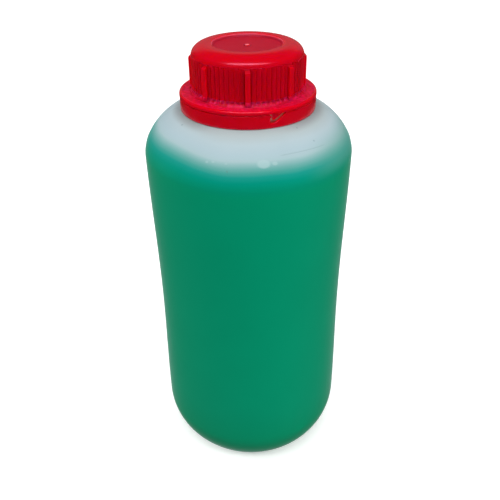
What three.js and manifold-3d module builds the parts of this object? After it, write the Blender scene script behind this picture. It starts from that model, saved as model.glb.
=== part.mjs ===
// One-litre round laboratory bottle, filled with a green solution and closed by a red screw cap
// with a tamper-evident band. The bottle is extrusion blow-moulded natural HDPE; the cap and
// its band are injection-moulded polypropylene with a foam sealing disc inside.
//
// Millimetres, +Z up. The origin is on the bottle's axis, on the surface that it stands on.

import * as THREE from 'three';
import { mergeVertices } from 'three/addons/utils/BufferGeometryUtils.js';
import Module from 'manifold-3d';

// ---- Driving dimensions ----

// Body of the bottle
const WALL = 1.6;
const BODY_RADIUS = 44.1; // at the heel and the shoulder
const PANEL_WAIST = 1.0; // how far the label panel is drawn in, half way up
const HEEL_TOP = 25.5; // where the heel's curve meets the wall
const HEEL_WIDTH = 39.5; // half axes of the heel's elliptical curve
const HEEL_HEIGHT = 32.8;
const BASE_ROUNDING_TOP = 1.3; // where the small radius under the heel starts
const RING_OUTER = 27.5; // flat standing ring
const RING_INNER = 24.5;
const RING_EDGE = [29.4, 0.35]; // radius and height where the ring's outer rounding ends
const PUSH_UP = 4.5; // height of the hollow under the base
const BASE_THICKNESS = 2.2; // in the middle
const INNER_HEEL_START = 2.6; // height where the heel's curve starts on the inside
const SHOULDER_START = 162;
const SHOULDER_HEIGHT = 18.6;
const SHOULDER_POWER = 1.69; // of the superellipse that rounds the shoulder
const NECK_ROOT = 25.2; // where the shoulder runs out under the band

// Neck finish
const BORE = 16.8;
const THREAD_ROOT = 19.2;
const THREAD_CREST = 20.3;
const LIP_TOP = 200.6;
const COLLAR = 22.8; // plain length that the band turns round
const BEAD = 24.6; // retaining bead that holds the band down
const BEAD_Z = 184.2;
const NECK_STEP = 22.2; // radius of the step over the bead
const LIP_ROUNDING = 0.6;

// Thread, right-handed, two turns
const PITCH = 4.2;
const TURNS = 2;
const THREAD_START = 189.2; // middle of the ridge at its lower end
const RIDGE_ROOT_WIDTH = 1.9;
const RIDGE_CREST_WIDTH = 0.9;
const RIDGE_SINK = 0.4; // how deep the ridge's foot is sunk into its wall
const RIDGE_RUN_OUT = 0.06; // share of the length over which each end fades out
const RIDGE_END_HEIGHT = 0.3; // share of the full height that is left at the very end
const RIDGE_STEPS_PER_TURN = 24;
const FLANK_CLEARANCE = 0.35; // between the two threads when the cap is screwed down

// Cap, measured from the underside of its flange
const CAP_SEAT = 185.9;
const CAP_HEIGHT = 19.9;
const FLANGE_RADIUS = 28;
const FLANGE_THICKNESS = 1.6;
const FLANGE_ROUNDING = 0.8; // width of the rounding on the flange's edge
const FLANGE_EDGE = 0.6; // plain edge left under that rounding
const CONE_RADIUS = 23.7; // sloped foot that carries the skirt, on top of the flange
const CONE_RISE = 1.6;
const SKIRT_RADIUS = 22.15; // between the knurls
const SKIRT_TOP = 15.7; // where the dome starts
const KNURL_RADIUS = 22.65;
const KNURL_PITCH = 5; // degrees
const KNURL_SHARE = 0.6; // of the pitch that is knurl
const RIB_COUNT = 8;
const RIB_RADIUS = 23.5;
const RIB_WIDTH = 1.9;
const RIB_CHAMFER = 1.35;
const ROOT_SINK = 0.8; // how deep ribs and bridges are sunk into what carries them
const DOME_WIDTH = 6.15; // of the dome's rounded edge
const RECESS_RADIUS = 13.9;
const RECESS_DEPTH = 0.7;
const RECESS_EDGE = 0.5; // width of the slope round it
const GATE_RADIUS = 0.9; // the moulding gate's mark in the middle of the recess
const GATE_HEIGHT = 0.35;
const CAP_BORE = 20.9;
const CAP_CEILING = 16.4; // underside of the top
const LINER_BEAD = 20.1; // bead that the sealing disc is pushed past
const LINER_BEAD_DROP = 1.95; // from the ceiling to the bead's middle
const CAP_THREAD_CREST = 19.6;

// Drive lugs, which hang from the flange in the band's notches
const LUG_ANGLES = [19.2, 139.2, 259.2]; // of the steep side, in degrees round from -Y
const LUG_DROP = 2.25;
const LUG_FOOT = 0.7; // width of its lower end
const LUG_RAMP = 3.65; // width of its ramp
const LUG_INNER = 26.5;
const LUG_OUTER = 27.6;
const NOTCH_GAP = 1.15; // left under the lug and along its ramp
const NOTCH_SIDE_GAP = 0.9; // left at its steep side

// Tamper-evident band
const BAND_FOOT = 180.9;
const BAND_HEIGHT = 4.5;
const BAND_RADIUS = 27.9;
const BAND_BORE = 26.7;
const BAND_LIP = 23.7; // inner lip that catches under the retaining bead
const BAND_LIP_Z = [0.4, 0.75]; // at the lip's edge
const BAND_LIP_ROOT_Z = [0.15, 1.3]; // where it leaves the band's wall
const BRIDGE_COUNT = 12;
const BRIDGE_WIDTH = 0.8;
const BRIDGE_HEIGHT = 0.2;
const BRIDGE_OFFSET = 10; // degrees, which keeps the bridges clear of the notches
const SIDE_BRIDGE = 0.6; // width and height of the one at each lug's steep side
const SIDE_BRIDGE_Z = 3.95; // its middle

// Fill and liner
const LIQUID_LEVEL = 172.8;
const FIT_GAP = 0.3; // left between faces that touch on the real bottle
const LINER_RADIUS = 20.3;
const LINER_THICKNESS = 1.1;

// Finish
const EDGE_BREAK = 0.2; // moulded edges are broken by this much
const OVERLAP = 0.2; // how far joined solids run into each other
const BODY_SEGMENTS = 40;
const CAP_SEGMENTS = 48;

// ---- Geometry helpers ----

const wasm = await Module();
wasm.setup();

const rad = THREE.MathUtils.degToRad;

// A profile of [radius, height] pairs, turned about the vertical axis.
function turn(profile, segments) {
  const points = profile.map(([r, z]) => new THREE.Vector2(r, z));
  return new THREE.LatheGeometry(points, segments).rotateX(Math.PI / 2);
}

// Points along part of an ellipse centred at (r, z), angles in degrees from the outward radius.
function ellipse(r, z, halfWidth, halfHeight, from, to, steps) {
  const points = [];
  for (let i = 0; i <= steps; i++) {
    const a = rad(from + ((to - from) * i) / steps);
    points.push([r + halfWidth * Math.cos(a), z + halfHeight * Math.sin(a)]);
  }
  return points;
}

function solid(geometry) {
  const bare = geometry.clone();
  bare.deleteAttribute('normal');
  bare.deleteAttribute('uv');
  const merged = mergeVertices(bare, 1e-4);
  return new wasm.Manifold(
    new wasm.Mesh({
      numProp: 3,
      vertProperties: new Float32Array(merged.attributes.position.array),
      triVerts: new Uint32Array(merged.index.array),
    }),
  );
}

function geometryOf(manifold) {
  const mesh = manifold.getMesh();
  const geometry = new THREE.BufferGeometry();
  geometry.setAttribute('position', new THREE.BufferAttribute(mesh.vertProperties, mesh.numProp));
  geometry.setIndex(new THREE.BufferAttribute(mesh.triVerts, 1));
  geometry.computeVertexNormals();
  return geometry;
}

// A flat outline of [x, y] pairs, pushed out along z.
function extrude(outline, depth, steps = 1) {
  const shape = new THREE.Shape(outline.map(([x, y]) => new THREE.Vector2(x, y)));
  return new THREE.ExtrudeGeometry(shape, { depth, steps, bevelEnabled: false });
}

// A thread ridge: a straight trapezium bar with tapered ends, wrapped round the axis as a
// right-hand helix. Root and crest are radii, start is the height of its lower end's middle.
function ridgeSolid(root, crest, start) {
  const foot = root + RIDGE_SINK * Math.sign(root - crest);
  const outline = [
    [foot, -RIDGE_ROOT_WIDTH / 2],
    [crest, -RIDGE_CREST_WIDTH / 2],
    [crest, RIDGE_CREST_WIDTH / 2],
    [foot, RIDGE_ROOT_WIDTH / 2],
  ];
  if (crest < root) outline.reverse();
  const geometry = extrude(outline, 1, RIDGE_STEPS_PER_TURN * TURNS);
  const place = geometry.attributes.position;
  for (let i = 0; i < place.count; i++) {
    const along = 1 - place.getZ(i);
    const full = Math.min(1, along / RIDGE_RUN_OUT, (1 - along) / RIDGE_RUN_OUT);
    const r = foot + (place.getX(i) - foot) * (RIDGE_END_HEIGHT + (1 - RIDGE_END_HEIGHT) * full);
    const angle = (along - 1) * TURNS * 2 * Math.PI;
    const z = start + along * TURNS * PITCH + place.getY(i);
    place.setXYZ(i, r * Math.cos(angle), r * Math.sin(angle), z);
  }
  return solid(geometry);
}

// ---- Bottle ----

function wallRadius(z) {
  const middle = (HEEL_TOP + SHOULDER_START) / 2;
  const s = (z - middle) / ((SHOULDER_START - HEEL_TOP) / 2);
  return BODY_RADIUS - PANEL_WAIST * Math.cos((Math.PI / 2) * s) ** 2;
}

// Heel, wall and shoulder from low to high, moved in from the outer surface by inset.
function bodyCurve(inset, lowest, highest, heelSteps, wallSteps, shoulderSteps) {
  const centre = BODY_RADIUS - HEEL_WIDTH;
  const sweep = THREE.MathUtils.radToDeg(Math.asin((HEEL_TOP - lowest) / (HEEL_HEIGHT - inset)));
  const curve = ellipse(
    centre, HEEL_TOP, HEEL_WIDTH - inset, HEEL_HEIGHT - inset, -sweep, 0, heelSteps);
  for (let i = 1; i <= wallSteps; i++) {
    const z = HEEL_TOP + ((SHOULDER_START - HEEL_TOP) * i) / wallSteps;
    curve.push([wallRadius(z) - inset, z]);
  }
  const rise = SHOULDER_HEIGHT - inset;
  const last = Math.min(1, (highest - SHOULDER_START) / rise);
  for (let i = 1; i <= shoulderSteps; i++) {
    const u = last * Math.sin(((Math.PI / 2) * i) / shoulderSteps);
    const across = Math.max(0, 1 - u ** SHOULDER_POWER) ** (1 / SHOULDER_POWER);
    curve.push([NECK_ROOT + (BODY_RADIUS - NECK_ROOT - inset) * across, SHOULDER_START + rise * u]);
  }
  return curve;
}

// The inside of the base: a shallow dome over the push-up, from the axis outwards.
function insideBase(inset) {
  return ellipse(0, BASE_THICKNESS - WALL + inset, RING_OUTER, PUSH_UP, 90, 0, 3);
}

function makeBottle() {
  const outer = [
    ...ellipse(0, 0, RING_INNER, PUSH_UP, 90, 0, 3),
    [RING_OUTER, 0],
    RING_EDGE,
    ...bodyCurve(0, BASE_ROUNDING_TOP, SHOULDER_START + SHOULDER_HEIGHT, 6, 4, 7),
    [COLLAR + 0.3, BEAD_Z - 3.3],
    [COLLAR, BEAD_Z - 2.8],
    [COLLAR, BEAD_Z - 0.9],
    [BEAD, BEAD_Z - 0.3],
    [BEAD, BEAD_Z + 0.2],
    [NECK_STEP, BEAD_Z + 0.9],
    [THREAD_ROOT + LIP_ROUNDING, BEAD_Z + 1.7],
    [THREAD_ROOT, BEAD_Z + 2.7],
    [THREAD_ROOT, LIP_TOP - LIP_ROUNDING],
    [THREAD_ROOT - LIP_ROUNDING, LIP_TOP],
    [BORE + LIP_ROUNDING, LIP_TOP],
    [BORE, LIP_TOP - LIP_ROUNDING],
  ];
  // Inside, the neck follows the collar, the bead and the step at about the wall's thickness.
  const inner = [
    ...insideBase(WALL),
    ...bodyCurve(WALL, INNER_HEEL_START, SHOULDER_START + SHOULDER_HEIGHT - WALL, 5, 4, 6),
    [COLLAR - WALL / 2, BEAD_Z - 4.9],
    [COLLAR - 1.2 * WALL, BEAD_Z - 3],
    [NECK_STEP - WALL, BEAD_Z - 0.8],
    [THREAD_ROOT - WALL, BEAD_Z + 1.7],
    [BORE, BEAD_Z + 3],
  ];
  const shell = solid(turn([...outer, ...inner.reverse()], BODY_SEGMENTS));
  return geometryOf(shell.add(ridgeSolid(THREAD_ROOT, THREAD_CREST, THREAD_START)));
}

// ---- Liquid ----

function makeLiquid() {
  const inset = WALL + FIT_GAP;
  const profile = [
    ...insideBase(inset),
    ...bodyCurve(inset, INNER_HEEL_START + FIT_GAP, LIQUID_LEVEL, 5, 4, 4),
    [0, LIQUID_LEVEL],
  ];
  return turn(profile, BODY_SEGMENTS);
}

// ---- Cap ----

// Outline of the grip seen from above: fine flat-topped knurls, with none where a rib stands.
function gripOutline() {
  const half = (KNURL_PITCH * KNURL_SHARE) / 2;
  const outline = [];
  for (let angle = 0; angle < 360; angle += KNURL_PITCH) {
    if (angle % (360 / RIB_COUNT) === 0) continue;
    const corners = [
      [SKIRT_RADIUS, angle - half],
      [KNURL_RADIUS, angle - half],
      [KNURL_RADIUS, angle + half],
      [SKIRT_RADIUS, angle + half],
    ];
    for (const [r, a] of corners) outline.push([r * Math.cos(rad(a)), r * Math.sin(rad(a))]);
  }
  return outline;
}

// A wedge seen from the side, with a 45 degree chamfer on its top, set on the skirt.
function ribSolid(angle) {
  const outline = [
    [SKIRT_RADIUS - ROOT_SINK, FLANGE_THICKNESS - OVERLAP],
    [RIB_RADIUS, FLANGE_THICKNESS - OVERLAP],
    [RIB_RADIUS, SKIRT_TOP - RIB_CHAMFER],
    [RIB_RADIUS - RIB_CHAMFER, SKIRT_TOP],
    [SKIRT_RADIUS - ROOT_SINK, SKIRT_TOP],
  ];
  const rib = extrude(outline, RIB_WIDTH).translate(0, 0, -RIB_WIDTH / 2).rotateX(Math.PI / 2);
  return solid(rib.rotateZ(rad(angle)));
}

// Outline of a lug seen from outside, steep on its left, where x is 0, and ramped on its right.
// With gaps it is the outline of the notch that the lug hangs in.
function lugOutline(gap, sideGap, top) {
  const slope = LUG_DROP / LUG_RAMP;
  const shift = gap * Math.hypot(1, 1 / slope);
  return [
    [-sideGap, top],
    [-sideGap, -LUG_DROP - gap],
    [LUG_FOOT + shift - gap / slope, -LUG_DROP - gap],
    [LUG_FOOT + LUG_RAMP + shift, 0],
    [LUG_FOOT + LUG_RAMP + shift, top],
  ];
}

// Such an outline made solid between two radii, with x = 0 at the given angle round from -Y.
function lugSolid(outline, angle, inner, outer) {
  const middle = (LUG_FOOT + LUG_RAMP) / 2;
  const lug = extrude(outline, outer - inner).translate(-middle, 0, inner).rotateX(Math.PI / 2);
  return solid(lug.rotateZ(rad(angle) + middle / BAND_RADIUS));
}

function makeCap() {
  const core = SKIRT_RADIUS - OVERLAP;
  const roundingHeight = FLANGE_THICKNESS - FLANGE_EDGE;
  const profile = [
    [0, CAP_HEIGHT - RECESS_DEPTH + GATE_HEIGHT],
    [GATE_RADIUS, CAP_HEIGHT - RECESS_DEPTH + GATE_HEIGHT],
    [GATE_RADIUS + EDGE_BREAK, CAP_HEIGHT - RECESS_DEPTH],
    [RECESS_RADIUS - EDGE_BREAK, CAP_HEIGHT - RECESS_DEPTH],
    [RECESS_RADIUS + RECESS_EDGE, CAP_HEIGHT],
    ...ellipse(core - DOME_WIDTH, SKIRT_TOP, DOME_WIDTH, CAP_HEIGHT - SKIRT_TOP, 90, 0, 5),
    [core, FLANGE_THICKNESS + CONE_RISE],
    [CONE_RADIUS, FLANGE_THICKNESS],
    ...ellipse(
      FLANGE_RADIUS - FLANGE_ROUNDING, FLANGE_EDGE, FLANGE_ROUNDING, roundingHeight, 90, 0, 3),
    [FLANGE_RADIUS, 0],
    [CAP_BORE, 0],
    [CAP_BORE, CAP_CEILING - LINER_BEAD_DROP - 2 * EDGE_BREAK],
    [LINER_BEAD, CAP_CEILING - LINER_BEAD_DROP - EDGE_BREAK],
    [LINER_BEAD, CAP_CEILING - LINER_BEAD_DROP + EDGE_BREAK],
    [CAP_BORE - EDGE_BREAK, CAP_CEILING - LINER_BEAD_DROP + 2 * EDGE_BREAK],
    [CAP_BORE - EDGE_BREAK, CAP_CEILING],
    [0, CAP_CEILING],
  ];
  let cap = solid(turn(profile.reverse(), CAP_SEGMENTS));
  const grip = extrude(gripOutline(), SKIRT_TOP - FLANGE_THICKNESS);
  const middle = new THREE.CylinderGeometry(
    core - OVERLAP, core - OVERLAP, 3 * CAP_HEIGHT, CAP_SEGMENTS).rotateX(Math.PI / 2);
  cap = cap.add(solid(grip).subtract(solid(middle)).translate([0, 0, FLANGE_THICKNESS]));
  for (let i = 0; i < RIB_COUNT; i++) cap = cap.add(ribSolid((360 / RIB_COUNT) * i));
  for (const angle of LUG_ANGLES) {
    cap = cap.add(lugSolid(lugOutline(0, 0, OVERLAP), angle, LUG_INNER, LUG_OUTER));
  }
  // The cap's ridge lies under the bottle's, closest where its crest meets the other's flank.
  const reach = (THREAD_CREST - CAP_THREAD_CREST) / (THREAD_CREST - THREAD_ROOT + RIDGE_SINK);
  const flank = RIDGE_CREST_WIDTH + (RIDGE_ROOT_WIDTH - RIDGE_CREST_WIDTH) * reach;
  const drop = (RIDGE_CREST_WIDTH + flank) / 2 + FLANK_CLEARANCE;
  const start = THREAD_START - CAP_SEAT - drop;
  return geometryOf(cap.add(ridgeSolid(CAP_BORE, CAP_THREAD_CREST, start)));
}

// ---- Tamper-evident band ----

function makeBand() {
  const profile = [
    [BAND_BORE, BAND_HEIGHT],
    [BAND_BORE, BAND_LIP_ROOT_Z[1]],
    [BAND_LIP, BAND_LIP_Z[1]],
    [BAND_LIP, BAND_LIP_Z[0]],
    [BAND_BORE, BAND_LIP_ROOT_Z[0]],
    [BAND_BORE + EDGE_BREAK, 0],
    [BAND_RADIUS - 2 * EDGE_BREAK, 0],
    [BAND_RADIUS, 2 * EDGE_BREAK],
    [BAND_RADIUS, BAND_HEIGHT - EDGE_BREAK],
    [BAND_RADIUS - EDGE_BREAK, BAND_HEIGHT],
    [BAND_BORE, BAND_HEIGHT],
  ];
  let band = solid(turn(profile, CAP_SEGMENTS));
  const wall = BAND_RADIUS - BAND_BORE - 2 * EDGE_BREAK;
  const wallMiddle = (BAND_RADIUS + BAND_BORE) / 2;
  const bridgeDepth = BRIDGE_HEIGHT + ROOT_SINK;
  for (let i = 0; i < BRIDGE_COUNT; i++) {
    const bridge = new THREE.BoxGeometry(wall, BRIDGE_WIDTH, bridgeDepth);
    bridge.translate(wallMiddle, 0, BAND_HEIGHT + BRIDGE_HEIGHT - bridgeDepth / 2);
    band = band.add(solid(bridge.rotateZ(rad((360 / BRIDGE_COUNT) * i + BRIDGE_OFFSET))));
  }
  const notch = lugOutline(NOTCH_GAP, NOTCH_SIDE_GAP, OVERLAP);
  for (const angle of LUG_ANGLES) {
    const cut = lugSolid(notch, angle, BAND_LIP, FLANGE_RADIUS + OVERLAP);
    band = band.subtract(cut.translate([0, 0, CAP_SEAT - BAND_FOOT]));
    // The nub that held the lug's steep side, from inside the band's wall to short of the lug.
    const nubLength = NOTCH_SIDE_GAP - FIT_GAP + ROOT_SINK;
    const nub = new THREE.BoxGeometry(nubLength, wall, SIDE_BRIDGE);
    nub.translate(-FIT_GAP - nubLength / 2, -wallMiddle, SIDE_BRIDGE_Z);
    band = band.add(solid(nub.rotateZ(rad(angle))));
  }
  return geometryOf(band);
}

// ---- Liner ----

function makeLiner() {
  const profile = [
    [0, 0],
    [LINER_RADIUS - EDGE_BREAK, 0],
    [LINER_RADIUS, EDGE_BREAK],
    [LINER_RADIUS, LINER_THICKNESS - EDGE_BREAK],
    [LINER_RADIUS - EDGE_BREAK, LINER_THICKNESS],
    [0, LINER_THICKNESS],
  ];
  return turn(profile, CAP_SEGMENTS);
}

// ---- Assembly ----

function piece(name, geometry, z, look) {
  const mesh = new THREE.Mesh(geometry, new THREE.MeshStandardMaterial(look));
  mesh.name = name;
  mesh.position.z = z;
  return mesh;
}

const naturalPlastic = { color: 0xc4cfd2, roughness: 0.45, metalness: 0 };
const greenSolution = { color: 0x008a60, roughness: 0.1, metalness: 0 };
const redPlastic = { color: 0xb4000c, roughness: 0.35, metalness: 0 };
const whiteFoam = { color: 0xf0efea, roughness: 0.8, metalness: 0 };

const bottle = new THREE.Group();
bottle.add(piece('bottle', makeBottle(), 0, naturalPlastic));
bottle.add(piece('liquid', makeLiquid(), 0, greenSolution));

const closure = new THREE.Group();
closure.add(piece('tamper_band', makeBand(), BAND_FOOT, redPlastic));
closure.add(piece('screw_cap', makeCap(), CAP_SEAT, redPlastic));
closure.add(piece('liner', makeLiner(), LIP_TOP + FIT_GAP, whiteFoam));

const assembly = new THREE.Group();
assembly.add(bottle, closure);

export default assembly;
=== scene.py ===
import math

import bmesh
import bpy
from mathutils import Matrix, Vector


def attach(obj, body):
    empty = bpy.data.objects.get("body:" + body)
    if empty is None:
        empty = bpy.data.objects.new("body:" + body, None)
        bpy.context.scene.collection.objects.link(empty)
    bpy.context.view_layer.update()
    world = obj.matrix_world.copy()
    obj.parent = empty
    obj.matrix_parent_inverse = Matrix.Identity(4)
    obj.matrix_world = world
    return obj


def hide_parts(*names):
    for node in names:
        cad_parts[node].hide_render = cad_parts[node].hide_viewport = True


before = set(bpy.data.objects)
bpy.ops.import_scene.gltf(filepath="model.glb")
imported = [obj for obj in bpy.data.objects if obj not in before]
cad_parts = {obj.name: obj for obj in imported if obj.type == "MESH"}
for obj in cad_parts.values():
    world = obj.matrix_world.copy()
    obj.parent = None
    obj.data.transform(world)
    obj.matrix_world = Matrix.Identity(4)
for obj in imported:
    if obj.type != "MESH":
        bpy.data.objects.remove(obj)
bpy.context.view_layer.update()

# ---- Bottle ----
# Round one-litre bottle, extrusion blow-moulded in natural HDPE. The wall is satin and milky, so
# the solution shows through it up to its level. It stands on a ring round its push-up, and its
# thicker neck carries the thread and the bead that the tamper-evident band catches under.

MM = 0.001
WALL = 1.6
BODY_RADIUS = 44.1
PANEL_WAIST = 1.0
HEEL_TOP = 25.5
HEEL_WIDTH = 39.5
HEEL_HEIGHT = 32.8
SHOULDER_START = 162.0
SHOULDER_HEIGHT = 18.6
SHOULDER_POWER = 1.69
NECK_ROOT = 25.2
RING_INNER = 24.5
RING_OUTER = 27.5
PUSH_UP = 4.5
BASE_THICKNESS = 2.2
NECK_RADIUS = 19.2
BORE_RADIUS = 16.8
LIP_HEIGHT = 200.6
FILL_LEVEL = 172.8
BOTTLE_STEPS = 180  # two degrees each
CURVE_STEPS = 24
HEEL_STEPS = 20
PUSH_UP_STEPS = 14
ROUNDING_STEPS = 4
WELD = 0.002  # corners closer together than this are one


def arc(r, z, width, height, start, end, count):
    """Corners along part of an ellipse, its angles in degrees up from the outward radius."""
    turns = [math.radians(start + (end - start) * i / count) for i in range(count + 1)]
    return [(r + width * math.cos(a), z + height * math.sin(a), 0) for a in turns]


def body_curve(inset, lowest, highest):
    """Heel, slightly waisted wall and shoulder, from low to high, moved in by inset."""
    sweep = math.degrees(math.asin((HEEL_TOP - lowest) / (HEEL_HEIGHT - inset)))
    centre = BODY_RADIUS - HEEL_WIDTH
    curve = arc(centre, HEEL_TOP, HEEL_WIDTH - inset, HEEL_HEIGHT - inset, -sweep, 0,
                HEEL_STEPS)
    for i in range(1, CURVE_STEPS + 1):
        z = HEEL_TOP + (SHOULDER_START - HEEL_TOP) * i / CURVE_STEPS
        across = 2 * (z - HEEL_TOP) / (SHOULDER_START - HEEL_TOP) - 1
        waist = PANEL_WAIST * math.cos(math.pi / 2 * across) ** 2
        curve.append((BODY_RADIUS - waist - inset, z, 0))
    rise = SHOULDER_HEIGHT - inset
    last = min(1, (highest - SHOULDER_START) / rise)
    for i in range(1, CURVE_STEPS + 1):
        u = last * math.sin(math.pi / 2 * i / CURVE_STEPS)
        across = max(0, 1 - u**SHOULDER_POWER) ** (1 / SHOULDER_POWER)
        r = NECK_ROOT + (BODY_RADIUS - NECK_ROOT - inset) * across
        curve.append((r, SHOULDER_START + rise * u, 0))
    return curve


def profile(bm, corners, ring=False):
    """Draws a profile of (radius, height, rounding) corners as a wire, and rounds its corners."""
    old = set(bm.verts)
    drawn = [bm.verts.new((r * MM, 0, z * MM)) for r, z, _ in corners]
    for a, b in zip(drawn, drawn[1:] + drawn[:1] if ring else drawn[1:]):
        bm.edges.new((a, b))
    for vert, (_, _, rounding) in zip(drawn, corners):
        if rounding:
            bmesh.ops.bevel(
                bm, geom=[vert], offset=rounding * MM, segments=ROUNDING_STEPS, profile=0.5,
                material=-1, affect="VERTICES")
    verts = [v for v in bm.verts if v not in old]
    return verts, list({e for v in verts for e in v.link_edges})


def turned(bm, corners, steps, ring=False, start=0.0):
    """Turns a profile right round the axis and closes its seam and its poles."""
    verts, edges = profile(bm, corners, ring)
    axis = {"cent": (0, 0, 0), "matrix": Matrix.Rotation(math.radians(start), 3, "Z")}
    bmesh.ops.rotate(bm, verts=verts, **axis)
    old = set(bm.verts) - set(verts)
    bmesh.ops.spin(
        bm, geom=verts + edges, cent=(0, 0, 0), axis=(0, 0, 1), dvec=(0, 0, 0),
        angle=2 * math.pi, steps=steps, use_merge=True, use_duplicate=False)
    fresh = [v for v in bm.verts if v not in old]
    bmesh.ops.remove_doubles(bm, verts=fresh, dist=WELD * MM)


def finished(bm, name, look, sharp=35):
    """Makes the modelled shape a named piece with its finish, smooth but for its sharp edges."""
    bmesh.ops.recalc_face_normals(bm, faces=bm.faces[:])
    mesh = bpy.data.meshes.new(name)
    bm.to_mesh(mesh)
    bm.free()
    mesh.materials.append(look)
    mesh.shade_smooth()
    mesh.set_sharp_from_angle(angle=math.radians(sharp))
    piece = bpy.data.objects.new(name, mesh)
    bpy.context.collection.objects.link(piece)
    return piece


THREAD_PITCH = 4.2
THREAD_TURNS = 2
THREAD_STEPS = 72  # in one turn
THREAD_ROOT_HALF = 0.95
THREAD_CREST_HALF = 0.45
THREAD_SINK = 0.3
THREAD_ROUNDING = 0.25
THREAD_FADE = 9  # steps over which each end runs out
NECK_THREAD_CREST = 20.3
NECK_THREAD_START = 189.2


def thread(bm, root, crest, start):
    """A thread ridge: its section drawn up a right-hand helix, each end run out into the wall."""
    foot = root - THREAD_SINK * math.copysign(1, crest - root)
    section = [
        (foot, start - THREAD_ROOT_HALF, 0),
        (crest, start - THREAD_CREST_HALF, THREAD_ROUNDING),
        (crest, start + THREAD_CREST_HALF, THREAD_ROUNDING),
        (foot, start + THREAD_ROOT_HALF, 0),
    ]
    verts, edges = profile(bm, section, ring=True)
    rings, first = [verts], edges
    turn = Matrix.Rotation(2 * math.pi / THREAD_STEPS, 3, "Z")
    rise = (0, 0, THREAD_PITCH / THREAD_STEPS * MM)
    for _ in range(THREAD_TURNS * THREAD_STEPS):
        grown = bmesh.ops.extrude_edge_only(bm, edges=edges)["geom"]
        verts = [g for g in grown if isinstance(g, bmesh.types.BMVert)]
        edges = [g for g in grown if isinstance(g, bmesh.types.BMEdge) and g.is_boundary]
        bmesh.ops.rotate(bm, verts=verts, cent=(0, 0, 0), matrix=turn)
        bmesh.ops.translate(bm, verts=verts, vec=rise)
        rings.append(verts)
    for end in (first, edges):
        bmesh.ops.contextual_create(bm, geom=end)
    for i, verts in enumerate(rings):
        height = min(1, (i + 1) / THREAD_FADE, (len(rings) - i) / THREAD_FADE)
        for v in verts:
            r = math.hypot(v.co.x, v.co.y)
            v.co.xy *= (foot * MM + (r - foot * MM) * height) / r


class Wire:
    """A socket's output that takes part in sums: each operator adds its Math node."""

    def __init__(self, finish, socket):
        self.finish, self.socket = finish, socket

    def maths(self, operation, *values):
        settings = {"operation": operation}
        return self.finish.node("Math", settings, dict(enumerate(values)))

    def __add__(self, other):
        return self.maths("ADD", self, other)

    def __sub__(self, other):
        return self.maths("SUBTRACT", self, other)

    def __rsub__(self, other):
        return self.maths("SUBTRACT", other, self)

    def __mul__(self, other):
        return self.maths("MULTIPLY", self, other)

    def __truediv__(self, other):
        return self.maths("DIVIDE", self, other)

    def __lt__(self, other):
        return self.maths("LESS_THAN", self, other)

    __radd__, __rmul__ = __add__, __mul__


class Finish:
    """One material: its shader's fixed settings, and the nodes that vary it over the surface."""

    def __init__(self, name, **fixed):
        self.material = bpy.data.materials.new(name)
        self.material.use_nodes = True
        self.tree = self.material.node_tree
        self.shader = self.tree.nodes["Principled BSDF"]
        for socket, value in fixed.items():
            self.shader.inputs[socket.replace("_", " ")].default_value = value
        self.place = self.node("TexCoord", output="Object")

    def node(self, kind, settings=None, values=None, output=0):
        node = self.tree.nodes.new("ShaderNode" + kind)
        for key, value in (settings or {}).items():
            if key == "stops":
                ramp = node.color_ramp
                while len(ramp.elements) < len(value):
                    ramp.elements.new(1)
                for element, (position, colour) in zip(ramp.elements, value):
                    element.position, element.color = position, colour
            elif key == "interpolation" and kind == "ValToRGB":
                node.color_ramp.interpolation = value
            else:
                setattr(node, key, value)
        for key, value in (values or {}).items():
            if isinstance(value, Wire):
                self.tree.links.new(value.socket, node.inputs[key])
            else:
                node.inputs[key].default_value = value
        return Wire(self, node.outputs[output])

    def feed(self, socket, wire):
        self.tree.links.new(wire.socket, self.shader.inputs[socket])

    def height(self):
        """Millimetres above the bench."""
        return self.node("SeparateXYZ", values={0: self.place}, output="Z") / MM

    def radius(self):
        """Millimetres from the bottle's axis."""
        flat = self.node("VectorMath", {"operation": "MULTIPLY"}, {0: self.place, 1: (1, 1, 0)})
        length = self.node("VectorMath", {"operation": "LENGTH"}, {0: flat}, output="Value")
        return length / MM

    def band(self, value, low, high, soft):
        """1 between low and high, fading to 0 over soft on each side."""
        up = self.node("MapRange", {"interpolation_type": "SMOOTHSTEP"},
                       {"Value": value, "From Min": low - soft, "From Max": low})
        down = self.node("MapRange", {"interpolation_type": "SMOOTHSTEP"},
                         {"Value": value, "From Min": high + soft, "From Max": high})
        return up * down

    def noise(self, size, detail=2.0, stretch=(1, 1, 1)):
        """Cloudy variation about 0.5 whose features are size millimetres across."""
        scaled = self.node("Mapping", values={"Vector": self.place, "Scale": stretch})
        return self.node("TexNoise", values={
            "Vector": scaled, "Scale": 1 / (size * MM), "Detail": detail})

    def near(self, point, radius, stretch=(1, 1, 1), core=0.0):
        """1 within a core round a point in millimetres, fading to 0 at the radius."""
        away = self.node("VectorMath", {"operation": "SUBTRACT"},
                         {0: self.place, 1: tuple(c * MM for c in point)})
        away = self.node("VectorMath", {"operation": "MULTIPLY"}, {0: away, 1: stretch})
        away = self.node("VectorMath", {"operation": "LENGTH"}, {0: away}, output="Value")
        return self.node("MapRange", {"interpolation_type": "SMOOTHSTEP"},
                         {"Value": away, "From Min": radius * MM, "From Max": core * MM})

    def mix(self, factor, a, b, blend="MIX"):
        values = {0: factor, 6: a, 7: b}
        return self.node("Mix", {"data_type": "RGBA", "blend_type": blend}, values, output=2)

    def relief(self, height, depth, strength=1.0, normal=None):
        """A bump of depth millimetres from a height of 0 to 1."""
        values = {"Height": height, "Distance": depth * MM, "Strength": strength}
        if normal:
            values["Normal"] = normal
        return self.node("Bump", values=values, output="Normal")


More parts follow.
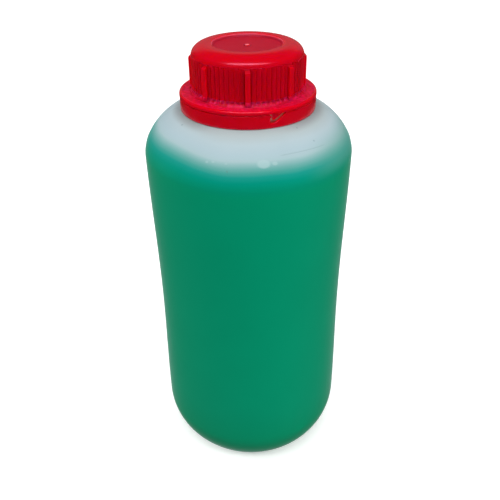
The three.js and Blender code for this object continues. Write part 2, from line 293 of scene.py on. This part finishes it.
# The solution's colour shows through the wall, deeper the further it is below the level, and a
# little of it clings to the wall on the left.
ABOVE_ALL = 210.0  # higher than any piece
CLING_FROM, CLING_TO = -8.0, -34.0  # from the middle towards the left
CLING_HEIGHT = 2.0
LEVEL_SWING = 1.6
CLEAR_ABOVE = 8
DEEP_BELOW = 25
natural = Finish(
    "natural_hdpe", IOR=1.54, Specular_IOR_Level=0.06, Specular_Tint=(0.3, 1.0, 0.9, 1),
    Sheen_Weight=0.4, Sheen_Roughness=0.24, Sheen_Tint=(0.75, 1.0, 0.95, 1),
    Emission_Strength=1.0)
across = natural.node("SeparateXYZ", values={0: natural.place}, output="X") / MM
clinging = natural.node("MapRange", {"interpolation_type": "SMOOTHSTEP"}, {
    "Value": across, "From Min": CLING_FROM, "From Max": CLING_TO})
level = natural.height() + (natural.noise(30) - 0.5) * LEVEL_SWING - CLING_HEIGHT * clinging
depth = natural.node("MapRange", values={
    "Value": level, "From Min": FILL_LEVEL + CLEAR_ABOVE, "From Max": FILL_LEVEL - DEEP_BELOW})
wall_colour = natural.node("ValToRGB", {"interpolation": "LINEAR", "stops": [
    (0.000, (0.330, 0.382, 0.392, 1)),
    (0.050, (0.341, 0.397, 0.410, 1)),
    (0.115, (0.350, 0.430, 0.465, 1)),
    (0.179, (0.330, 0.421, 0.463, 1)),
    (0.220, (0.320, 0.420, 0.456, 1)),
    (0.245, (0.305, 0.416, 0.440, 1)),
    (0.279, (0.204, 0.366, 0.366, 1)),
    (0.315, (0.117, 0.317, 0.297, 1)),
    (0.355, (0.048, 0.279, 0.242, 1)),
    (0.394, (0.008, 0.253, 0.205, 1)),
    (0.455, (0.000, 0.240, 0.168, 1)),
    (0.521, (0.000, 0.240, 0.145, 1)),
    (0.642, (0.000, 0.250, 0.127, 1)),
    (1.000, (0.000, 0.253, 0.130, 1))]}, {0: depth}, output="Color")
cloud = natural.noise(22, 3.0)
wall_colour = natural.mix(0.10 * cloud, wall_colour, (0.0, 0.20, 0.10, 1), "MULTIPLY")
# Painted shade: the wall is painted a deeper green low down, where less light reaches the heel.
HEEL_SHADE_TOP, HEEL_SHADE_SOFT = 6.0, 40.0
painted_heel_shade = natural.band(natural.height(), -5.0, HEEL_SHADE_TOP, HEEL_SHADE_SOFT)
wall_colour = natural.mix(0.28 * painted_heel_shade, wall_colour, (0.0, 0.16, 0.03, 1))
# The neck is thicker and has no solution behind it, so it is whiter; it is painted paler still
# from just under the band up, as painted light for light that passes through the plastic in under
# the cap.
NECK_FOOT = 180.9
whiter_neck_and_painted_light = natural.band(natural.height(), NECK_FOOT, ABOVE_ALL, 0.9)
wall_colour = natural.mix(whiter_neck_and_painted_light, wall_colour, (0.80, 0.80, 0.77, 1))
# Froth at the level and a few specks: each with its place, size and, for a bubble, its strength.
BUBBLES = [
    ((5.5, -39.5, 171.9), 3.0, 0.62), ((9.7, -38.8, 171.8), 1.3, 0.5),
    ((-15.5, -36.8, 171.8), 0.8, 0.4), ((-13.2, -37.5, 172.1), 0.8, 0.4),
    ((-8.4, -39.0, 171.9), 0.7, 0.3)]
for point, size, strength in BUBBLES:
    bubble = natural.near(point, size, (1, 1.4, 1.6), 0.6 * size) * strength
    wall_colour = natural.mix(bubble, wall_colour, (0.32, 0.45, 0.46, 1))
SPECKS = [
    ((-8.0, -40.7, 169.5), 0.6), ((-25.9, -17.7, 178.9), 0.7), ((25.0, -26.7, 175.4), 0.6),
    ((18.6, -23.6, 179.4), 0.6), ((26.4, -9.6, 180.1), 0.7)]
for point, size in SPECKS:
    speck = natural.near(point, size) * 0.5
    wall_colour = natural.mix(speck, wall_colour, (0.10, 0.16, 0.15, 1))
# A fine bowed scratch on the right of the shoulder, at the front only.
SCRATCH_HEIGHT = 173.8
SCRATCH_WIDTH = 0.1
SCRATCH_BOW = 0.003
SCRATCH_LEFT, SCRATCH_MIDDLE, SCRATCH_RIGHT = 13.0, 15.0, 28.0
front = natural.node("SeparateXYZ", values={0: natural.place}, output="Y") < 0
bow = across - SCRATCH_MIDDLE
scratch = natural.band(natural.height() + SCRATCH_BOW * bow * bow,
                       SCRATCH_HEIGHT, SCRATCH_HEIGHT + SCRATCH_WIDTH, 0.14)
scratch = scratch * natural.band(across, SCRATCH_LEFT, SCRATCH_RIGHT, 2.0) * front
wall_colour = natural.mix(0.35 * scratch, wall_colour, (0.20, 0.28, 0.28, 1))
# Solution has dried to a thin film above its level on the right.
FILM_LOW, FILM_HIGH, FILM_SOFT = 167.0, 172.0, 5.5
FILM_FROM, FILM_TO = 20.0, 38.0  # from the middle towards the right
dried = natural.node("MapRange", {"interpolation_type": "SMOOTHSTEP"}, {
    "Value": across, "From Min": FILM_FROM, "From Max": FILM_TO})
dried = dried * natural.band(natural.height(), FILM_LOW, FILM_HIGH, FILM_SOFT)
wall_colour = natural.mix(0.5 * dried, wall_colour, (0.085, 0.265, 0.215, 1))
# Painted shade: the wall is darkened close under the band, towards both sides, where the band
# shades it.
SHADE_LOW, SHADE_HIGH, SHADE_SOFT = 180.2, 181.5, 1.8
SHADE_FROM, SHADE_TO = 8.0, 22.0  # from the middle towards either side
painted_band_shade = natural.node("MapRange", {"interpolation_type": "SMOOTHSTEP"}, {
    "Value": across * across, "From Min": SHADE_FROM**2, "From Max": SHADE_TO**2})
painted_band_shade = painted_band_shade * natural.band(natural.height(), SHADE_LOW, SHADE_HIGH, SHADE_SOFT)
wall_colour = natural.mix(0.36 * painted_band_shade, wall_colour, (0.12, 0.11, 0.11, 1))
natural.feed("Base Color", wall_colour)
# Painted light: the neck under the band is given a faint red glow, standing in for red light that
# has come through the cap, and it shows in the band's notches.
LIT_LOW, LIT_HIGH = 181.6, 186.0
painted_neck_glow = natural.band(natural.height(), LIT_LOW, LIT_HIGH, 0.4)
natural.feed("Emission Color", natural.mix(painted_neck_glow, (0, 0, 0, 1), (0.20, 0.045, 0.03, 1)))
# Handling scuffs, the fine orange peel of the mould and the upright lines left by the die.
scuffs = natural.noise(5, 4.0, (1, 1, 0.35))
natural.feed("Roughness", 0.42 + 0.12 * scuffs)
peel = natural.noise(1.4, 2.0)
die_lines = natural.noise(3.0, 2.0, (1, 1, 0.03))
skin = natural.relief(peel, 0.02, 0.5)
skin = natural.relief(die_lines, 0.05, 0.5, skin)
natural.feed("Normal", natural.relief(1 - scratch, 0.08, 0.6, skin))

outer_wall = [
    *arc(0, 0, RING_INNER, PUSH_UP, 90, 6, PUSH_UP_STEPS),
    (RING_INNER, 0, 0.3),
    (RING_OUTER, 0, 0.8),
    (29.4, 0.35, 0.8),
    *body_curve(0, 1.3, SHOULDER_START + SHOULDER_HEIGHT),
    (23.1, NECK_FOOT, 0.2),
    (22.8, 181.4, 0.2),
    (22.8, 183.3, 0.3),
    (24.6, 183.9, 0.3),
    (24.6, 184.4, 0.3),
    (22.2, 185.1, 0.3),
    (19.8, 185.9, 0.4),
    (NECK_RADIUS, 186.9, 0.3),
    (NECK_RADIUS, LIP_HEIGHT, 0.6),
    (BORE_RADIUS, LIP_HEIGHT, 0.6),
]
inner_wall = [
    *arc(0, BASE_THICKNESS, RING_OUTER, PUSH_UP, 90, 0, PUSH_UP_STEPS),
    *body_curve(WALL, 2.6, SHOULDER_START + SHOULDER_HEIGHT - WALL),
    (22.0, 179.3, 0.4),
    (20.9, 181.2, 0.4),
    (20.6, 183.4, 0.6),
    (17.6, 185.9, 0.6),
    (BORE_RADIUS, 187.2, 0.6),
]
bm = bmesh.new()
thread(bm, NECK_RADIUS, NECK_THREAD_CREST, NECK_THREAD_START)
turned(bm, outer_wall + inner_wall[::-1], BOTTLE_STEPS)

# The mould's halves meet in a faint parting line on each side. The columns of faces beside it
# are drawn in to SEAM_HALF degrees, and the line itself is raised from the heel to the neck.
SEAM_HALF = 0.45
SEAM_RISE = 0.09
SEAM_FOOT = 3
SEAM_TOP = 180
SEAM_LEAST_RADIUS = 26
COLUMN_LEAST_RADIUS = 24
ON_LINE, NEXT_COLUMN = 0.5, 2.5  # degrees off the line
for v in bm.verts:
    angle, r = math.degrees(math.atan2(v.co.y, v.co.x)), math.hypot(v.co.x, v.co.y) / MM
    off = (angle + 90) % 180 - 90
    if r > COLUMN_LEAST_RADIUS and ON_LINE < abs(off) < NEXT_COLUMN:
        turn = math.radians(math.copysign(SEAM_HALF, off) - off)
        v.co = Matrix.Rotation(turn, 3, "Z") @ v.co
    elif r > SEAM_LEAST_RADIUS and abs(off) < ON_LINE and SEAM_FOOT < v.co.z / MM < SEAM_TOP:
        v.co.xy *= 1 + SEAM_RISE / r

# A knock has left a shallow dent low on the front.
DENT = Vector((24.0, -37.1, 28.6)) * MM
DENT_REACH = 5.0 * MM
DENT_DEPTH = 0.55 * MM
for v in bm.verts:
    share = (v.co - DENT).length / DENT_REACH
    if share < 1:
        inward = Vector((-v.co.x, -v.co.y, 0)).normalized()
        v.co += inward * DENT_DEPTH * (1 - share**2) ** 2

# The parison was pinched off across the push-up, which left a low bar.
PINCH_LENGTH = 34
PINCH_WIDTH = 1.1
PINCH_HEIGHT = 0.7
PINCH_DROP = 0.45
pinch = bmesh.ops.create_grid(bm, x_segments=22, y_segments=2, size=0.5)["verts"]
bmesh.ops.scale(bm, verts=pinch, vec=(PINCH_LENGTH * MM, PINCH_WIDTH * MM, 1))
for v in pinch:
    arch = PUSH_UP * math.sqrt(1 - (v.co.x / (RING_INNER * MM)) ** 2)
    v.co.z = (arch - PINCH_DROP) * MM
grown = bmesh.ops.extrude_face_region(
    bm, geom=list({f for v in pinch for f in v.link_faces}), use_keep_orig=True)["geom"]
lifted = [g for g in grown if isinstance(g, bmesh.types.BMVert)]
bmesh.ops.translate(bm, verts=lifted, vec=(0, 0, PINCH_HEIGHT * MM))
bottle = finished(bm, "bottle_shell", natural.material)
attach(bottle, "bottle")
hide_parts("bottle")

# ---- Solution ----
# The green solution fills the bottle to the shoulder. It is a clear water-based liquid, seen
# from above through the open neck, with a meniscus where it wets the wall.

FIT_GAP = 0.3
MENISCUS_HEIGHT = 0.4
liquid = Finish(
    "green_solution", Roughness=0.04, IOR=1.34, Specular_IOR_Level=0.5,
    Coat_Weight=0.4, Coat_Roughness=0.02)
murk = liquid.noise(18, 3.0)
liquid.feed("Base Color", liquid.mix(
    murk, (0.0, 0.19, 0.085, 1), (0.0, 0.26, 0.125, 1)))
inset = WALL + FIT_GAP
fill = [
    *arc(0, BASE_THICKNESS + FIT_GAP, RING_OUTER, PUSH_UP, 90, 0, PUSH_UP_STEPS),
    *body_curve(inset, 2.9, FILL_LEVEL + MENISCUS_HEIGHT),
]
rim = fill[-1][0]
fill += [(rim - 0.5, FILL_LEVEL + 0.15, 0.2), (rim - 1.6, FILL_LEVEL, 0.5), (0, FILL_LEVEL, 0)]
bm = bmesh.new()
turned(bm, fill, BOTTLE_STEPS)
solution = finished(bm, "solution", liquid.material)
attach(solution, "bottle")
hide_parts("liquid")

# ---- Screw cap ----
# Injection-moulded red polypropylene, one piece: a domed top with a shallow matt recess and the
# gate's nub, a knurled grip with eight ribs, a sloped foot, and a broad flange with a rounded
# edge. Three ramped lugs hang from the flange and turn the band; the thread is inside.

RED = (0.53, 0.0, 0.0075, 1)
CAP_STEPS = 360  # one degree each, so that a knurl is three faces and a rib is five
HALF_STEP = 0.5  # turns the cap so that faces, not corners, stand on whole degrees
DOME_STEPS = 18
EDGE_STEPS = 6
CORE = 22.38
KNURL_RADIUS = 22.65
RIB_RADIUS = 23.5
KNURL_PITCH = 5  # degrees
RIB_PITCH = 45
CAP_TOP = 205.8
DOME_WIDTH = 6.15
GRIP_TOP = 201.6
RECESS_FLOOR = 204.5
RECESS_RADIUS = 13.6
RIM_RADIUS = 14.2
RIB_CHAMFER_FOOT = 200.25
RIB_TOP = RIB_CHAMFER_FOOT + RIB_RADIUS - CORE  # where its 45-degree chamfer meets the wall
CONE_TOP = 189.1
FLANGE_TOP = 187.5
CONE_RADIUS = 23.7
FLANGE_FOOT = 185.9
FLANGE_RADIUS = 28.0
SKIRT_INNER = 20.9
DISC_BEAD = 20.1
DISC_SEAT = 202.3
CAP_THREAD_CREST = 19.6
CAP_THREAD_START = 187.72
GRIP_CHAMFER = 0.13
CHAMFERED_FROM = 30  # degrees between two faces
TOUCH = 0.01  # heights closer together than this are the same
LUG_PITCH = 120
LUG_INNER = 26.5
LUG_OUTER = 27.6
LUG_START = 19.5  # degrees round from the front
LUG_END = 28.5
LUG_DROP = 2.25
LUG_FOOT = 1.5  # degrees


def cone_height(r):
    """Height of the grip's sloped foot at a radius."""
    return FLANGE_TOP + (CONE_TOP - FLANGE_TOP) * (CONE_RADIUS - r) / (CONE_RADIUS - CORE)


red = Finish(
    "red_polypropylene", IOR=1.49, Specular_IOR_Level=1.0, Specular_Tint=(1.0, 0.42, 0.72, 1),
    Subsurface_Weight=1.0, Subsurface_Radius=(1.0, 0.08, 0.08), Subsurface_Scale=3.0 * MM)
# The recess and the flange's top were left matt and sandy by the mould, the rest is polished.
recess = red.band(red.radius(), 1.5, RIM_RADIUS - 0.15, 0.15)
recess = recess * red.band(red.height(), RECESS_FLOOR - 0.5, ABOVE_ALL, 0.3)
landing = red.band(red.radius(), 22.7, 26.9, 0.5) * red.band(red.height(), 187.0, 189.3, 0.3)
grain = red.noise(0.55, 2.0)
sand = red.node("MapRange", values={
    "Value": red.noise(1.2, 1.0), "From Min": 0.47, "From Max": 0.58})
mottle = red.noise(7, 3.0)
tone = red.mix(0.35 * mottle, RED, (0.51, 0.0, 0.012, 1))
# Painted light: the grip's wall and knurls are painted a lighter red, standing in for light that
# the translucent plastic carries into the grooves between them.
painted_grip_light = red.band(red.radius(), 21.3, 22.8, 0.1) * red.band(red.height(), 189.3, 201.2, 0.6)
tone = red.mix(painted_grip_light, tone, (0.76, 0.0, 0.008, 1))
tone = red.mix(recess * (0.55 + 0.45 * grain), tone, (0.34, 0.006, 0.020, 1))
tone = red.mix(landing, tone, (0.47, 0.0, 0.015, 1))
tone = red.mix(landing * sand, tone, (0.64, 0.004, 0.055, 1))
# The gate's nub has a pale broken top, and painted shade darkens a ring round its foot. A painted
# highlight runs round the recess's edge.
gate = red.band(red.height(), RECESS_FLOOR - 0.1, 206.0, 0.1)
tone = red.mix(gate * red.band(red.radius(), 1.35, 1.75, 0.2), tone, (0.26, 0.0, 0.008, 1))
tone = red.mix(0.8 * gate * red.band(red.radius(), -1.0, 0.7, 0.35), tone, (0.72, 0.22, 0.27, 1))
painted_rim_highlight = red.band(red.radius(), RIM_RADIUS - 0.25, RIM_RADIUS - 0.05, 0.12)
painted_rim_highlight = painted_rim_highlight * red.band(red.height(), CAP_TOP - 0.5, ABOVE_ALL, 0.2)
tone = red.mix(0.6 * painted_rim_highlight, tone, (0.66, 0.09, 0.15, 1))
red.feed("Base Color", tone)
wear = red.noise(3.0, 4.0)
red.feed("Roughness", 0.19 + 0.08 * wear + 0.32 * recess + 0.28 * landing)
texture = red.relief(grain * recess + sand * landing, 0.09, 0.6)
red.feed("Normal", red.relief(red.noise(0.8, 2.0), 0.010, 0.35, texture))

cap_profile = [
    (0, RECESS_FLOOR + 0.45, 0),
    (0.75, RECESS_FLOOR + 0.4, 0.3),
    (1.25, RECESS_FLOOR - 0.05, 0.1),
    (1.55, RECESS_FLOOR - 0.1, 0.1),
    (1.9, RECESS_FLOOR, 0.1),
    (12.9, RECESS_FLOOR, 0),
    (RECESS_RADIUS, RECESS_FLOOR, 0.25),
    (RIM_RADIUS, CAP_TOP, 0.4),
    *arc(CORE - DOME_WIDTH, GRIP_TOP, DOME_WIDTH, CAP_TOP - GRIP_TOP, 90, 0, DOME_STEPS),
    (CORE, RIB_TOP, 0),
    (CORE, RIB_CHAMFER_FOOT, 0),
    (CORE, CONE_TOP, 0),
    (KNURL_RADIUS, cone_height(KNURL_RADIUS), 0),
    (RIB_RADIUS, cone_height(RIB_RADIUS), 0),
    (CONE_RADIUS, FLANGE_TOP, 0),
    (26.8, FLANGE_TOP, 0),
    *arc(27.2, 186.5, 0.8, 1.0, 90, 0, EDGE_STEPS),
    (FLANGE_RADIUS, 186.15, 0),
    (FLANGE_RADIUS, FLANGE_FOOT, 0.12),
    (LUG_OUTER, FLANGE_FOOT, 0),
    (LUG_INNER, FLANGE_FOOT, 0),
    (SKIRT_INNER, FLANGE_FOOT, 0.3),
    (SKIRT_INNER, 199.9, 0),
    (DISC_BEAD, 200.15, 0.15),
    (DISC_BEAD, 200.55, 0.15),
    (20.7, 200.75, 0.15),
    (20.7, DISC_SEAT, 0.3),
    (0, DISC_SEAT, 0),
]
bm = bmesh.new()
thread(bm, SKIRT_INNER, CAP_THREAD_CREST, CAP_THREAD_START)
turned(bm, cap_profile, CAP_STEPS, start=HALF_STEP)


def polar(v):
    """A vertex as (radius in mm, degrees round from the front, height in mm)."""
    angle = math.degrees(math.atan2(v.co.y, v.co.x)) + 90
    return math.hypot(v.co.x, v.co.y) / MM, angle % 360, v.co.z / MM


def grown_verts(faces):
    """Extrudes these faces in place and returns the vertices of what grew."""
    geom = bmesh.ops.extrude_face_region(bm, geom=faces)["geom"]
    return [g for g in geom if isinstance(g, bmesh.types.BMVert)]


def grip_faces(lowest, highest, pick):
    """Faces of the grip between two heights whose whole degree round the cap is picked."""
    found = []
    for face in bm.faces:
        centre = face.calc_center_median()
        r, z = math.hypot(centre.x, centre.y) / MM, centre.z / MM
        degree = round(math.degrees(math.atan2(centre.y, centre.x))) % 360
        if CORE - 0.2 < r < RIB_RADIUS + 0.5 and lowest < z < highest and pick(degree):
            found.append(face)
    return found


def on_rib(degree):
    """Whether a degree is one of a rib's five."""
    return (degree + 2) % RIB_PITCH <= 4


def on_knurl(degree):
    """Whether a degree is one of a knurl's three, away from the ribs."""
    nearest = KNURL_PITCH * round(degree / KNURL_PITCH)
    return abs(degree - nearest) <= 1 and nearest % RIB_PITCH != 0


# Knurls and ribs are drawn out of the grip's wall, the ribs flat-faced, and their edges eased.
grip = []
for v in grown_verts(grip_faces(cone_height(KNURL_RADIUS), GRIP_TOP, on_knurl)):
    v.co.xy *= KNURL_RADIUS / polar(v)[0]
    grip.append(v)
for v in grown_verts(grip_faces(cone_height(RIB_RADIUS), RIB_TOP, on_rib)):
    r, angle, z = polar(v)
    centre = math.radians(RIB_PITCH * round(angle / RIB_PITCH) - 90)
    outward = Vector((math.cos(centre), math.sin(centre)))
    sideways = Vector((-math.sin(centre), math.cos(centre)))
    if cone_height(RIB_RADIUS) + TOUCH < z < RIB_TOP - TOUCH:
        across = sideways.dot(v.co.xy) / r * CORE
        v.co.xy = outward * RIB_RADIUS * MM + sideways * across
    grip.append(v)
bmesh.ops.remove_doubles(bm, verts=grip, dist=WELD * MM)
grip = {v for v in grip if v.is_valid}
edges = [
    e for e in bm.edges
    if e.verts[0] in grip and e.verts[1] in grip and e.is_manifold
    and e.calc_face_angle() > math.radians(CHAMFERED_FROM)]
bmesh.ops.bevel(
    bm, geom=edges, offset=GRIP_CHAMFER * MM, segments=2, profile=0.5, material=-1,
    affect="EDGES", clamp_overlap=True)

# The lugs are drawn down out of the flange's underside, each with one steep and one ramped end.
hanging = []
for face in bm.faces:
    centre = face.calc_center_median()
    r, z = math.hypot(centre.x, centre.y) / MM, centre.z / MM
    degree = (math.degrees(math.atan2(centre.y, centre.x)) + 90) % LUG_PITCH
    underside = LUG_INNER < r < LUG_OUTER and abs(z - FLANGE_FOOT) < TOUCH
    if underside and LUG_START < degree < LUG_END:
        hanging.append(face)
for v in grown_verts(hanging):
    degree = polar(v)[1] % LUG_PITCH
    ramp = (LUG_END - degree) / (LUG_END - LUG_START - LUG_FOOT)
    v.co.z -= LUG_DROP * max(0, min(1, ramp)) * MM
bmesh.ops.remove_doubles(bm, verts=bm.verts[:], dist=WELD * MM)
cap = finished(bm, "cap_shell", red.material, sharp=20)
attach(cap, "cap")
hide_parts("screw_cap")

# ---- Tamper-evident band ----
# A ring moulded with the cap in the same red polypropylene. Its inner lip holds it down under
# the neck's bead. Three ramped notches take the cap's lugs, and fine bridges on its top edge and
# at each notch's steep side are what breaks when the cap is first opened.

BAND_TOP = 185.6
BAND_FOOT = 180.5
BAND_OUTER = 27.9
BAND_INNER = 26.7
LIP_INNER = 23.7
NOTCH_FLOOR = 182.45
NOTCH_START = 17.3  # degrees round from the front, the steep side
NOTCH_ELBOW = 21.5
NOTCH_END = 31.5
UPPER_EDGE = 184.5  # the band's corners above this are its upper edge
band_section = [
    (BAND_OUTER, 185.0, 0),
    (BAND_OUTER, BAND_TOP, 0.22),
    (BAND_INNER, BAND_TOP, 0.15),
    (BAND_INNER, 185.1, 0),
    (BAND_INNER, 181.95, 0.12),
    (LIP_INNER, 181.65, 0.12),
    (LIP_INNER, 181.3, 0.12),
    (BAND_INNER, 181.05, 0),
    (26.9, BAND_FOOT, 0.1),
    (BAND_OUTER, BAND_FOOT, 0.15),
    (BAND_OUTER, 181.5, 0),
]
bm = bmesh.new()
turned(bm, band_section, CAP_STEPS, ring=True, start=HALF_STEP)
# In each notch the band's upper edge is pushed down to the floor and up the ramp. The columns of
# corners either side of NOTCH_START are turned up against it, which makes the steep side.
COLUMN_BEFORE, COLUMN_AFTER = 16.5, 17.5  # degrees
STEEP_HALF = 0.04
for v in bm.verts:
    _, angle, z = polar(v)
    degree = angle % LUG_PITCH
    if abs(degree - COLUMN_BEFORE) < 0.1:
        turn = NOTCH_START - STEEP_HALF - degree
    elif abs(degree - COLUMN_AFTER) < 0.1:
        turn = NOTCH_START + STEEP_HALF - degree
    else:
        turn = 0
    if turn:
        v.co = Matrix.Rotation(math.radians(turn), 3, "Z") @ v.co
    if z > UPPER_EDGE and NOTCH_START < degree + turn < NOTCH_END:
        climb = max(0, (degree - NOTCH_ELBOW) / (NOTCH_END - NOTCH_ELBOW))
        v.co.z -= (BAND_TOP - NOTCH_FLOOR) * (1 - climb) * MM


BRIDGE_RADIUS = 27.3
BRIDGE_ROUNDING = 0.08
TOP_BRIDGES = 12
FIRST_TOP_BRIDGE = 10  # degrees round from the front
SIDE_BRIDGES = 3
TOP_BRIDGE = (0.8, 0.8, 0.5)  # along, across and up
SIDE_BRIDGE = (1.0, 0.8, 0.6)


def bridge(degree, z, size):
    """A breakable nub: a small block with soft edges, sunk into the band."""
    made = bmesh.ops.create_cube(bm, size=MM)["verts"]
    bmesh.ops.scale(bm, verts=made, vec=size)
    edges = list({e for v in made for e in v.link_edges})
    soft = bmesh.ops.bevel(
        bm, geom=edges, offset=BRIDGE_ROUNDING * MM, segments=2, profile=0.5, material=-1,
        affect="EDGES", clamp_overlap=True)["verts"]
    block = list(set(soft) | {v for v in made if v.is_valid})
    bmesh.ops.translate(bm, verts=block, vec=(0, -BRIDGE_RADIUS * MM, z * MM))
    turn = Matrix.Rotation(math.radians(degree), 3, "Z")
    bmesh.ops.rotate(bm, verts=block, cent=(0, 0, 0), matrix=turn)


for i in range(TOP_BRIDGES):
    bridge(360 / TOP_BRIDGES * i + FIRST_TOP_BRIDGE, BAND_TOP - 0.25, TOP_BRIDGE)
for i in range(SIDE_BRIDGES):
    bridge(LUG_PITCH * i + NOTCH_START + 0.4, BAND_TOP - 0.75, SIDE_BRIDGE)
band = finished(bm, "band_ring", red.material)
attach(band, "tamper_band")
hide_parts("tamper_band")

# ---- Sealing disc ----
# A die-cut disc of closed-cell polyethylene foam, pushed past the cap's small bead. The bottle's
# lip has pressed a shallow ring into its underside.

DISC_RADIUS = 20.3
DISC_FACE = 200.9
DISC_BACK = 202.0
PRESSED_FACE = 201.0
DISC_STEPS = 144
CELL_SIZE = 0.55
foam = Finish("white_foam", Specular_IOR_Level=0.3)
cells = foam.node("TexVoronoi", {"feature": "F1"}, {
    "Vector": foam.place, "Scale": 1 / (CELL_SIZE * MM)}, output="Distance")
foam.feed("Base Color", foam.mix(cells, (0.88, 0.87, 0.84, 1), (0.80, 0.79, 0.76, 1)))
foam.feed("Roughness", 0.68 + 0.2 * cells)
foam.feed("Normal", foam.relief(cells, 0.06, 0.6))
bm = bmesh.new()
turned(bm, [
    (0, DISC_FACE, 0),
    (16.6, DISC_FACE, 0.1),
    (16.9, PRESSED_FACE, 0.1),
    (18.9, PRESSED_FACE, 0.1),
    (19.2, DISC_FACE, 0.1),
    (DISC_RADIUS, DISC_FACE, 0.2),
    (DISC_RADIUS, DISC_BACK, 0.2),
    (0, DISC_BACK, 0),
], DISC_STEPS)
disc = finished(bm, "sealing_disc", foam.material)
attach(disc, "cap")
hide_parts("liner")

# ---- Room ----
# A plain white bench top and soft white light: a broad overhead light, a long narrow lamp that
# leaves the highlight on the cap, one lamp at each side, a weak one behind and a white surround.

BENCH_HALF = 4.0  # metres
bench = Finish(
    "bench_top", Roughness=0.9, Specular_IOR_Level=0.1, Emission_Color=(1, 1, 1, 1),
    Emission_Strength=0.25)
bench.feed("Base Color", bench.mix(
    bench.noise(40, 3.0), (0.90, 0.90, 0.90, 1), (0.92, 0.92, 0.92, 1)))
bm = bmesh.new()
bmesh.ops.create_grid(bm, x_segments=2, y_segments=2, size=BENCH_HALF)
floor = finished(bm, "bench", bench.material)
floor.visible_diffuse = False
floor.visible_glossy = False


def lamp(name, kind, place, aim, power, glossy=True, **settings):
    """A lamp that the camera doesn't see, and that gloss mirrors only if glossy is set."""
    data = bpy.data.lights.new(name, kind)
    data.energy = power
    for key, value in settings.items():
        setattr(data, key, value)
    light = bpy.data.objects.new(name, data)
    light.location = place
    light.rotation_euler = (Vector(aim) - Vector(place)).to_track_quat("-Z", "Y").to_euler()
    light.visible_camera = False
    light.visible_glossy = glossy
    bpy.context.collection.objects.link(light)


lamp("overhead", "SUN", place=(0, -0.27, 1), aim=(0, 0, 0), power=1.9, glossy=False,
     angle=math.radians(80))
lamp("key", "AREA", place=(-0.03, -0.52, 0.84), aim=(0, 0, 0.18), power=3.3,
     shape="RECTANGLE", size=1.1, size_y=0.07)
lamp("left", "AREA", place=(-1.15, 0.1, 0.35), aim=(0, 0, 0.1), power=7.0, glossy=False,
     shape="RECTANGLE", size=0.8, size_y=0.8)
lamp("right", "AREA", place=(1.0, -0.65, 0.35), aim=(0, 0, 0.1), power=7.0, glossy=False,
     shape="RECTANGLE", size=0.8, size_y=0.8)
lamp("back", "AREA", place=(0, 1.5, 0.55), aim=(0, 0, 0.15), power=0.9,
     shape="RECTANGLE", size=2.0, size_y=1.0)

world = bpy.data.worlds.new("surround")
world.use_nodes = True
bpy.context.scene.world = world
tree = world.node_tree
path, surround = tree.nodes.new("ShaderNodeLightPath"), tree.nodes["Background"]
LIT, MIRRORED, SEEN = 0.38, 0.03, 1.1  # its brightness as light, in gloss and to the eye
surround.inputs["Color"].default_value = (1, 1, 1, 1)
brightness = tree.nodes.new("ShaderNodeMath")
brightness.operation = "MULTIPLY_ADD"
brightness.inputs[1].default_value = MIRRORED - LIT
brightness.inputs[2].default_value = LIT
tree.links.new(path.outputs["Is Glossy Ray"], brightness.inputs[0])
direct = tree.nodes.new("ShaderNodeMath")
direct.operation = "MULTIPLY_ADD"
direct.inputs[1].default_value = SEEN - LIT
tree.links.new(path.outputs["Is Camera Ray"], direct.inputs[0])
tree.links.new(brightness.outputs[0], direct.inputs[2])
tree.links.new(direct.outputs[0], surround.inputs["Strength"])

bpy.context.scene.view_settings.view_transform = "Standard"

# ---- Camera ----
# A view from in front and above, as from someone who stands at the bench. It is close enough for
# the body to taper downwards, and rolled by less than a degree.

CAMERA_PLACE = (0.0001, -0.2420, 0.2669)
LOOKS_DOWN = 33.224  # degrees
ROLLED = -0.678
LENS = 43.41
SENSOR = 36
view = bpy.data.cameras.new("camera")
view.lens = LENS
view.sensor_width = SENSOR
camera = bpy.data.objects.new("camera", view)
bpy.context.collection.objects.link(camera)
camera.matrix_world = (
    Matrix.Translation(CAMERA_PLACE)
    @ Matrix.Rotation(math.radians(90 - LOOKS_DOWN), 4, "X")
    @ Matrix.Rotation(math.radians(ROLLED), 4, "Z"))
bpy.context.scene.camera = camera
